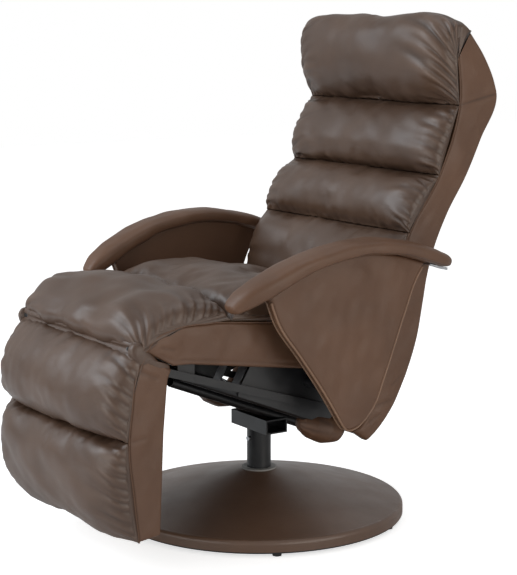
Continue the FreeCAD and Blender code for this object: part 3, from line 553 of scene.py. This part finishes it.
back_upper = cushion(
    "back_upper", "backrest",
    [(313.6, 851), (290, 846), (255, 808), (235, 764), (241, 728), (265.2, 714.1)],
    [(313.6, 851), (307, 842), (291, 806), (274, 764), (264, 728), (265.2, 714.1)],
    [(265.2, 714.1), (313.6, 851)], BACK_HALF, 23,
    side=(14, 64, 5.4), first=(22, 30, 2.4), last=(24, 36, 3.2))
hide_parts("back_upper_cushion")

back_middle = cushion(
    "back_middle", "backrest",
    [(265.2, 714.1), (244, 713), (203, 697), (177, 655), (176, 620), (190.2, 603)],
    [(265.2, 714.1), (257, 704), (235, 684), (210, 652), (191, 620), (190.2, 603)],
    [(190.2, 603), (265.2, 714.1)], BACK_HALF, 37,
    side=(14, 62, 5.0), first=(22, 30, 2.4), last=(24, 36, 3.0))
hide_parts("back_middle_cushion")

back_lower = cushion(
    "back_lower", "backrest",
    [(190.2, 603), (176, 600), (149, 584), (122, 525), (109, 450), (107, 380), (126, 357)],
    [(190.2, 603), (182, 594), (168, 566), (150, 515), (134, 445), (121, 380), (126, 357)],
    [(126, 357), (140, 440), (190.2, 603)], BACK_HALF - 0.003, 41, side=(18, 50, 3.4), first=(26, 30, 2.4),
    last=(40, 30, 1.0), soft=3.2)
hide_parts("back_lower_cushion")

seat_rear = cushion(
    "seat_rear", "carriage",
    [(92, 434), (99, 452), (96, 482), (40, 500), (-90, 522), (-165, 528), (-211, 512), (-223, 468)],
    [(92, 434), (95, 440), (92, 446), (40, 449), (-90, 462), (-165, 470), (-214, 474), (-223, 468)],
    [(-223, 468), (92, 434)], SEAT_HALF, 53, side=(22, 70, 4.0), first=(40, 30, 1.0), last=(20, 52, 3.6),
    soft=4.4, cap=0.026)
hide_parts("seat_rear_cushion")

seat_front = cushion(
    "seat_front", "carriage",
    [(-223, 468), (-233, 503), (-300, 523), (-372, 513), (-422, 481), (-441, 451), (-431, 434), (-404, 429)],
    [(-223, 468), (-230, 474), (-300, 476), (-350, 471), (-389, 454), (-407, 436), (-410, 431), (-404, 429)],
    [(-404, 429), (-388, 449), (-345, 465), (-256, 469), (-223, 468)], SEAT_HALF, 67,
    side=(17, 76, 5.6), first=(20, 50, 3.4), last=(17, 42, 3.6), soft=3.6, cap=0.026)
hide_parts("seat_front_cushion")

foot_upper = cushion(
    "foot_upper", "footrest",
    [(-407, 423), (-431, 430), (-465, 406), (-492, 365), (-503, 330), (-498, 292), (-476, 269),
     (-445.5, 263.5)],
    [(-407, 421), (-413, 414), (-424, 396), (-434, 362), (-441, 330), (-446, 298), (-448, 274),
     (-445.5, 263.5)],
    [(-445.5, 263.5), (-427, 384), (-407, 421)], SEAT_HALF, 71,
    side=(15, 52, 4.4), first=(17, 46, 3.8), last=(20, 38, 3.2))
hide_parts("footrest_upper_cushion")

foot_lower = cushion(
    "foot_lower", "footrest",
    [(-445.5, 263.5), (-477, 258), (-500, 222), (-500, 170), (-484, 112), (-455, 76), (-425, 72)],
    [(-445.5, 263.5), (-449, 252), (-450, 222), (-447, 170), (-439, 112), (-431, 82), (-425, 72)],
    [(-425, 72), (-445.5, 263.5)], SEAT_HALF, 83,
    side=(15, 50, 4.4), first=(20, 44, 3.2), last=(20, 34, 2.4))
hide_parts("footrest_lower_cushion")


# Knee: the leather that folds where the footrest hangs from the seat

def knee_cover():
    """Folded strip across the knee: a closed thin loop in (y, z) carried along X, creased in the middle."""
    loop = smooth_line([(-425, 444), (-432, 446), (-437, 439), (-434, 432), (-437, 427), (-443, 421),
                        (-444, 414), (-436, 412), (-428, 419), (-424, 431), (-425, 444)], 60)[:-1]
    half = SEAT_HALF * 1000
    x = np.linspace(4 - half, half - 4, 150)
    size = (len(x), len(loop))
    ruffle = pleats(np.broadcast_to(x[:, None] + 240, size), np.full(size, 4.0), 480, 911, 15, 40, 2.2)
    centre = np.array([-431.0, 430.0])
    ends = np.clip((half - np.abs(x)) / 14, 0, 1)[:, None, None]
    scale = 0.55 + 0.45 * np.sqrt(1 - (1 - ends)**2)
    flat = centre + (loop[None] - centre) * scale
    back = 4.0 + 17.0 * (1 - fullness(x / half))
    flat = flat + (flat - centre) * (ruffle / 14)[..., None]
    flat[..., 0] += back[:, None]
    # The ruffle's fold values make the leather shader paint shade into its valleys and a highlight, partly
    # wear, onto its ridges.
    piece = ring_piece("knee_cover", swept(x, flat) * MM, CUSHION, None, np.clip(ruffle / 3, -1, 1))
    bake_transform(piece)


def knee_gusset(side_name, sign):
    """Soft gusset at each end of the knee: a rounded lens between the two side panels, over the hinge."""
    loop = smooth_line([(-400, 432), (-410, 442), (-425, 444), (-433, 434), (-432, 420), (-425, 406),
                        (-412, 398), (-394, 396), (-366, 384), (-352, 384), (-351, 394), (-376, 408),
                        (-400, 432)], 90)[:-1]
    share = np.linspace(0, 1, 26)
    x = 219.0 + 17.5 * share
    scale = 0.3 + 0.7 * np.sqrt(np.clip(1 - share**5, 0, 1))
    centre = np.array([-408.0, 417.0])
    flat = centre + (loop[None] - centre) * scale[:, None, None]
    flat = flat + field(flat, 921, 26.0)[..., None] * 0.7
    piece = ring_piece("knee_gusset_" + side_name, swept(sign * x, flat) * MM, CUSHION, None)
    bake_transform(piece)


knee_cover()
knee_gusset("left", 1)
knee_gusset("right", -1)


# Side panels

def patch(first, last, start, end):
    """Coons patch between four edge lines: the two ruled surfaces between opposite lines added together,
    less the surface that is linear in both directions between the corners."""
    first, last, start, end = (np.asarray(line, float) for line in (first, last, start, end))
    u = np.linspace(0, 1, len(start))[:, None, None]
    v = np.linspace(0, 1, len(first))[None, :, None]
    ruled_u = (1 - u) * first[None] + u * last[None]
    ruled_v = (1 - v) * start[:, None] + v * end[:, None]
    corners = ((1 - u) * (1 - v) * first[0] + u * (1 - v) * last[0]
               + (1 - u) * v * first[-1] + u * v * last[-1])
    return ruled_u + ruled_v - corners


def apart(first, second):
    """Distance between the points of two grids."""
    return np.linalg.norm(first - second, axis=-1)


def padded_panel(name, body, flat, inner, outer, sign, seed, crown, soft, rounding=5.0, creases=()):
    """Padded sheet over a flat patch: the outer face stands out by a round of the given radius at its rim and
    a low crown inside it, with soft waves and grooves; the inner face is flat."""
    ends_u = np.minimum(apart(flat, flat[:1]), apart(flat, flat[-1:]))
    ends_v = np.minimum(apart(flat, flat[:, :1]), apart(flat, flat[:, -1:]))
    rim = np.minimum(ends_u, ends_v)
    inside = np.clip(rim / rounding, 0, 1)
    lift = -rounding * (1 - np.sqrt(1 - (1 - inside)**2))
    lift = lift + crown * (1 - np.exp(-rim / 35.0))
    calm = 1 - np.exp(-(rim / 18.0)**2)
    lift = lift + field(flat, seed, 95.0) * soft * calm + field(flat, seed + 1, 38.0) * soft * 0.25 * calm
    fold = np.zeros(lift.shape)
    for (y0, z0), (y1, z1), width, depth in creases:
        run = np.array([y1 - y0, z1 - z0], float)
        share = np.clip(((flat - (y0, z0)) @ run) / (run @ run), 0, 1)
        gap = apart(flat, (y0, z0) + share[..., None] * run)
        groove = np.exp(-(gap / width)**2) - 0.45 * np.exp(-(gap / (2.4 * width))**2)
        fold -= depth * groove
    lift = lift + fold
    top = np.concatenate([(sign * (outer * 1000 + lift))[..., None], flat], -1) * MM
    under = np.concatenate([np.full(flat.shape[:2] + (1,), sign * inner * 1000), flat], -1) * MM
    # Fold values for the leather shader: painted shade in the grooves and a painted highlight, partly wear,
    # on their raised flanks.
    fold_shading_and_wear = np.concatenate([np.clip(fold / 3, -1, 1).ravel(), np.zeros(fold.size)])
    piece = mesh_piece(name, *closed_sheet(top, under), PANEL, body, fold_shading_and_wear)
    return piece


def side_cord(name, body, line, x, radius, material=PIPING):
    """Thin piped seam: a tube along the line in the plane at x, closed at both ends."""
    piece = ring_piece(name, tube(in_plane(line, x), radius * MM, 10), material, body)


for side_name, sign in (("left", 1), ("right", -1)):
    back_front = smooth_line(BACK_SEAM + BACK_TAIL, 150)
    back_back = smooth_line(BACK_REAR, 150)
    flat = patch(back_front, back_back, straight_line([BACK_SEAM[0], BACK_REAR[0]], 34),
                 straight_line([BACK_TAIL[-1], BACK_REAR[-1]], 34))
    back_out, seat_out = BACK_HALF - 0.001, SEAT_HALF - 0.001
    panel = padded_panel("back_side_" + side_name, "backrest", flat, BACK_PANEL_IN, back_out, sign, 101,
                         crown=3.0, soft=1.8, rounding=7.0,
                         creases=[((316, 850), (408, 872), 4.0, 4.2), ((306, 838), (360, 846), 7.0, 1.2),
                                  ((190, 600), (222, 590), 6, 1.2), ((150, 300), (178, 318), 5, 2.0),
                                  ((112, 262), (150, 270), 5, 2.6), ((96, 232), (120, 244), 4, 2.2)])
    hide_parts("back_side_panel_" + side_name)

    top = smooth_line(SEAT_SEAM[:4], 40)
    top = np.concatenate([top[:-1], straight_line(SEAT_SEAM[3:], 81)])
    bottom = straight_line(SEAT_BOTTOM, 120)
    flat = patch(top, bottom, straight_line([SEAT_SEAM[0], SEAT_BOTTOM[0]], 30),
                 straight_line([SEAT_SEAM[-1], SEAT_BOTTOM[-1]], 30))
    panel = padded_panel("seat_side_" + side_name, "carriage", flat, SEAT_PANEL_IN, seat_out, sign, 113,
                         crown=2.5, soft=1.6, creases=[((-330, 404), (70, 349), 3.0, 1.6),
                                                       ((-372, 432), (-345, 424), 6, 2.0),
                                                       ((-376, 418), (-352, 408), 5, 1.6)])
    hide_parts("seat_side_panel_" + side_name)

    front = smooth_line(FOOT_SEAM, 110)
    rear = straight_line(FOOT_REAR, 110)
    flat = patch(front, rear, straight_line([FOOT_SEAM[0], FOOT_REAR[0]], 26),
                 straight_line([FOOT_SEAM[-1], FOOT_REAR[-1]], 26))
    panel = padded_panel("foot_side_" + side_name, "footrest", flat, SEAT_PANEL_IN, seat_out, sign, 127,
                         crown=2.5, soft=1.5, creases=[((-436, 264), (-410, 268), 5, 1.6),
                                                       ((-418, 392), (-384, 376), 6, 2.0)])
    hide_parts("footrest_side_panel_" + side_name)

    seam = smooth_line(BACK_SEAM, 140)
    side_cord("back_seam_" + side_name, "backrest", seam, sign * (back_out - 0.001), 1.8, PANEL)
    side_cord("seat_seam_" + side_name, "carriage", top, sign * seat_out, 1.6, PANEL)
    side_cord("foot_seam_" + side_name, "footrest", front, sign * seat_out, 1.6, PANEL)


# Arms

ARM_LINE = [(-250, 490), (-241, 501), (-224, 513), (-190, 532), (-140, 557), (-85, 578), (-20, 592),
            (50, 596), (120, 587), (185, 569), (226, 554), (251, 544)]
ARM_INSET = [29, 27, 22, 15, 9, 4, 1, 0, 0, 1, 3, 6]
ARM_HALF = [0.40, 0.62, 0.80, 0.92, 0.97, 0.99, 1.0, 1.0, 1.0, 0.97, 0.84, 0.50]
ARM_THICK = [0.42, 0.70, 0.90, 1.0, 0.92, 0.82, 0.76, 0.74, 0.74, 0.78, 0.68, 0.36]
ARM_CENTRE, ARM_WIDE, ARM_DEEP = 303, 36.5, 20
ARM_PANEL_OUT, ARM_PANEL_IN = 0.305, 0.283
ARM_SEAMS = (5.62, 3.80)


def arm_values(values, count, reach, **padding):
    """The arm's listed values spread evenly over its line, and smoothed by a running mean."""
    spread = np.interp(np.linspace(0, 1, count), np.linspace(0, 1, len(values)), values)
    window = 2 * reach + 1
    return np.convolve(np.pad(spread, reach, **padding), np.ones(window) / window, "valid")


def arm_pad(name, node, sign, seed):
    """Padded arm: a superellipse section square to the arm's line, wide and thin, carried from nose to tail,
    with its width and depth falling to a point-like end at both ends."""
    count, around = 170, 64
    line = np.stack([arm_values(v, count, 6, mode="reflect", reflect_type="odd") for v in zip(*ARM_LINE)], -1)
    inset, wide, deep = (arm_values(v, count, 3, mode="edge") for v in (ARM_INSET, ARM_HALF, ARM_THICK))
    up = outward_of(line)
    end = np.clip(np.minimum(np.arange(count), np.arange(count)[::-1]) / 9.0, 0, 1)
    round_end = np.sqrt(1 - (1 - end)**2) * 0.97 + 0.03
    turn = np.linspace(0, 2 * np.pi, around, endpoint=False)
    c, s = np.cos(turn), np.sin(turn)
    across = np.sign(c) * np.abs(c)**0.62
    rise = np.sign(s) * np.abs(s)**np.where(s > 0, 0.86, 0.55)
    half_x = ARM_WIDE * wide * round_end
    half_n = ARM_DEEP * deep * round_end
    x = ARM_CENTRE - inset[:, None] + across[None] * half_x[:, None]
    y = line[:, :1] + up[:, :1] * rise[None] * half_n[:, None]
    z = line[:, 1:] + up[:, 1:] * rise[None] * half_n[:, None]
    grid = np.stack([sign * x, y, z], -1)
    out = normals(np.concatenate([grid, grid[:, :1]], 1))[:, :-1]
    centre = grid.mean(1, keepdims=True)
    out = out * np.sign(((grid - centre) * out).sum(-1, keepdims=True))
    seam = sum(np.exp(-((np.mod(turn - place + np.pi, 2 * np.pi) - np.pi) / 0.07)**2) for place in ARM_SEAMS)
    calm = round_end[:, None] * (1 - np.exp(-(np.arange(count)[:, None] / 14.0)**2))
    fold = -1.3 * seam[None] * calm
    soft = field(grid, seed, 80.0) * 0.8 + field(grid, seed + 1, 30.0) * 0.25
    grid = (grid + out * (fold + soft * calm)[..., None]) * MM
    # The seam grooves' fold values make the leather shader paint shade into the grooves.
    piece = ring_piece(name, grid, PANEL, "carriage", np.clip(fold / 2.2, -1, 1))
    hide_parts(node)
    return line, up, deep * round_end * ARM_DEEP


for side_name, sign in (("left", 1), ("right", -1)):
    line, up, deep = arm_pad("arm_rest_" + side_name, "arm_pad_" + side_name, sign, 201)
    under = line - up * (deep[:, None] - 1.5)
    keep = (line[:, 0] > -190) & (line[:, 0] < 196)
    top = straight_line(under[keep], 120)
    tip = smooth_line([(-8, 249), (2, 239), (24, 241), (46, 256)], 120)
    front = smooth_line([tuple(top[0]), (-156, 459), (-108, 395), (-55, 322), (-8, 249)], 110)
    rear = smooth_line([tuple(top[-1]), (168, 521), (139, 454), (112, 386), (89, 329), (66, 279), (46, 256)],
                       110)
    flat = patch(top, tip, front, rear)
    face = ARM_PANEL_OUT - 0.002
    panel = padded_panel("arm_side_" + side_name, "carriage", flat, ARM_PANEL_IN, face, sign, 211,
                         crown=3.4, soft=1.5, rounding=6.0)
    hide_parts("arm_panel_" + side_name)
    rim = np.concatenate([front[4:-1], tip[:-1], rear[::-1][:-4]])
    side_cord("arm_piping_out_" + side_name, "carriage", rim, sign * (face - 0.002), 2.3)
    side_cord("arm_piping_in_" + side_name, "carriage", rim, sign * (ARM_PANEL_IN + 0.002), 2.3)


# Back's rear cover and the soft bags round the rails

NOTCH_HALF, NOTCH_TOP = 75, 236
COVER_THICKNESS = 8.0


def rear_cover():
    """Padded rear of the back: its rear outline carried along X between the side panels, with a low crown
    across the width, soft waves, two grooves for the seams, and a notch at its foot for the spine. The wall
    between its two faces stands on the edges that belong to one cell only."""
    outline = smooth_line(BACK_REAR, 190)[:-1]
    x = np.linspace(-BACK_PANEL_IN, BACK_PANEL_IN, 110) * 1000
    out = outward_of(outline)
    out *= np.sign(out[:, :1] + 1e-9)
    grid = swept(x, outline)
    edge = np.clip((BACK_PANEL_IN * 1000 - np.abs(x)) / 30, 0, 1)[:, None]
    crown = 4.0 * edge**0.5
    waves = (field(grid, 301, 130.0) * 2.2 + field(grid, 302, 50.0) * 0.5) * edge
    height = outline[:, 1]
    groove = -3.0 * np.exp(-((height - 868) / 5.0)**2) - 2.4 * np.exp(-((height - 560) / 4.0)**2)
    lift = crown + waves + groove[None] - 4.0
    outer = grid.copy()
    outer[..., 1:] += out[None] * lift[..., None]
    inner = grid.copy()
    inner[..., 1:] -= out[None] * COVER_THICKNESS
    notch = (np.abs(x)[:, None] < NOTCH_HALF) & (height < NOTCH_TOP)[None]
    rows, columns = outer.shape[:2]
    quads = grid_cells(rows, columns)[~(notch[:-1, :-1] & notch[1:, :-1])]
    low = quads[:, ::-1] + rows * columns
    edges = np.concatenate([quads[:, [0, 1]], quads[:, [1, 2]], quads[:, [2, 3]], quads[:, [3, 0]]])
    key = np.sort(edges, 1) @ np.array([10**7, 1])
    where, count = np.unique(key, return_index=True, return_counts=True)[1:]
    rim = edges[where[count == 1]]
    wall = np.column_stack([rim[:, ::-1], rim + rows * columns])
    used = np.unique(np.concatenate([quads.ravel(), low.ravel()]))
    remap = np.zeros(2 * rows * columns, int)
    remap[used] = np.arange(len(used))
    points = np.concatenate([outer.reshape(-1, 3), inner.reshape(-1, 3)])[used] * MM
    faces = remap[np.concatenate([quads, low, wall])].tolist()
    # Fold values from the two seam grooves: the leather shader paints shade into them.
    fold = np.concatenate([np.broadcast_to(groove / 3, (rows, columns)).ravel(), np.zeros(rows * columns)])
    piece = mesh_piece("back_rear_cover", points, faces, PANEL, "backrest", fold[used])
    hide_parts("back_rear_panel")


rear_cover()


def pouch(side_name, sign):
    """Gathered soft bag round the end of a rail: an ellipsoid-like shell whose radius is ruffled by pleats
    that run round from its mouth at the front."""
    rings, size = 70, 96
    t = np.linspace(0, 1, rings)
    centre_line = smooth_line([(-34, 236), (-8, 229), (26, 216), (56, 210), (76, 212)], rings)
    radius = np.interp(t, [0, 0.06, 0.25, 0.55, 0.8, 0.95, 1], [5, 15, 26, 29, 24, 12, 2])
    turn = np.linspace(0, 2 * np.pi, size, endpoint=False)
    x = 188 + radius[:, None] * 1.2 * np.cos(turn)[None]
    up = outward_of(centre_line)
    around, along = np.meshgrid(turn * 26, t * 110)
    ruffle = pleats(around, along, 2 * np.pi * 26, 401, 12.0, 60.0, 4.0)
    rise = (radius[:, None] + ruffle) * np.sin(turn)[None]
    y, z = (centre_line[:, k:k + 1] + up[:, k:k + 1] * rise for k in (0, 1))
    grid = np.stack([sign * x, y, z], -1) * MM
    # The ruffle's fold values make the leather shader paint shade into the pleat valleys and a highlight,
    # partly wear, onto the ridges.
    piece = ring_piece("rail_pouch_" + side_name, grid, PANEL, "carriage", np.clip(ruffle / 3, -1, 1))
    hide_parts("rear_pouch_" + side_name)
    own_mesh(piece)


pouch("left", 1)
pouch("right", -1)


# Thin coverings of the footrest's frame

def covering(name, line, half, material, seed, wave):
    """Thin closed sheet that lies on the outside of a line in (y, z) carried along X, with shallow waves that
    fade to nothing at its tacked edges."""
    line = straight_line(line, 70)
    out = outward_of(line)
    x = np.linspace(-half, half, 130) * 1000
    flat = swept(x, line)
    step = np.arange(len(line)) * 3.0
    near = np.minimum(half * 1000 - np.abs(x)[:, None], np.minimum(step, step[::-1])[None])
    calm = 1 - np.exp(-near / 14.0)
    lift = 1.4 - 0.9 * np.exp(-near / 2.0) + wave * (field(flat, seed, 70.0) + 1.2) * calm
    outer, inner = flat.copy(), flat.copy()
    outer[..., 1:] += out * lift[..., None]
    inner[..., 1:] += out * 0.15
    mesh_piece(name, *closed_sheet(outer * MM, inner * MM), material, "footrest")


covering("footrest_end_cover", [(-377, 78), (-424, 72)], SEAT_PANEL_IN, PANEL, 931, 0.5)
covering("footrest_back_cloth", [(-359.5, 343), (-367, 272), (-377, 78)], SEAT_PANEL_IN - 0.001, BLACK_CLOTH,
         941, 0.7)


# Camera, light and stage

def studio():
    """Camera of the photograph's view, four soft lamps, a pale floor and a white surround."""
    scene = bpy.context.scene
    camera = bpy.data.cameras.new("camera")
    view = bpy.data.objects.new("camera", camera)
    scene.collection.objects.link(view)
    view.location = (2.825, -1.908, 1.037)
    view.rotation_euler = Vector((-0.8179, 0.5521, -0.162)).to_track_quat("-Z", "Y").to_euler()
    camera.lens = 105.45
    camera.sensor_width = 36
    scene.camera = view
    scene.view_settings.view_transform = "Standard"

    lamps = (("window_lamp", (-1.5, -2.6, 2.5), (0.0, -0.1, 0.6), 2.2, 2.2, 70, (0.85, 0.93, 1.0)),
             ("front_lamp", (0.5, -3.3, 0.75), (0.0, 0.0, 0.3), 2.2, 1.2, 28, (1.0, 0.97, 0.93)),
             ("side_lamp", (3.4, 0.7, 0.95), (0.0, 0.0, 0.3), 2.2, 1.6, 34, (1.0, 0.95, 0.88)),
             ("top_lamp", (0.2, 0.4, 3.2), (0.0, 0.0, 0.5), 1.8, 1.8, 14, (0.92, 0.96, 1.0)))
    for name, place, aim, wide, tall, power, colour in lamps:
        data = bpy.data.lights.new(name, "AREA")
        data.shape = "RECTANGLE"
        data.size, data.size_y = wide, tall
        data.energy = power
        data.color = colour
        lamp = bpy.data.objects.new(name, data)
        scene.collection.objects.link(lamp)
        lamp.location = place
        lamp.rotation_euler = (Vector(aim) - Vector(place)).to_track_quat("-Z", "Y").to_euler()

    world = bpy.data.worlds.new("surround")
    scene.world = world
    world.use_nodes = True
    tree = world.node_tree
    back = tree.nodes["Background"]
    back.inputs["Color"].default_value = (1, 1, 1, 1)
    path = tree.nodes.new("ShaderNodeLightPath")
    seen = tree.nodes.new("ShaderNodeMath")
    seen.operation = "MAXIMUM"
    tree.links.new(path.outputs["Is Camera Ray"], seen.inputs[0])
    tree.links.new(path.outputs["Is Transmission Ray"], seen.inputs[1])
    glossy = tree.nodes.new("ShaderNodeMath")
    glossy.operation = "MULTIPLY_ADD"
    glossy.inputs[1].default_value = 0.25
    tree.links.new(path.outputs["Is Glossy Ray"], glossy.inputs[0])
    strength = tree.nodes.new("ShaderNodeMapRange")
    strength.inputs["To Min"].default_value = 0.42
    strength.inputs["To Max"].default_value = 1.0
    tree.links.new(seen.outputs[0], glossy.inputs[2])
    tree.links.new(glossy.outputs[0], strength.inputs["Value"])
    tree.links.new(strength.outputs["Result"], back.inputs["Strength"])

    reach = 9.0
    mesh = bpy.data.meshes.new("floor")
    mesh.from_pydata([(-reach, -reach, -0.0005), (reach, -reach, -0.0005), (reach, reach, -0.0005),
                      (-reach, reach, -0.0005)], [], [(0, 1, 2, 3)])
    floor = bpy.data.objects.new("floor", mesh)
    scene.collection.objects.link(floor)
    n = Nodes("floor_paint")
    n.shader.inputs["Base Color"].default_value = (0.86, 0.86, 0.86, 1)
    n.shader.inputs["Roughness"].default_value = 0.55
    n.shader.inputs["Specular IOR Level"].default_value = 0.2
    light = n.add("ShaderNodeLightPath")
    n.shader.inputs["Emission Color"].default_value = (1, 1, 1, 1)
    n.join(n.spread(light.outputs["Is Camera Ray"], 0.0, 0.66), n.shader.inputs["Emission Strength"])
    mesh.materials.append(n.material)


studio()
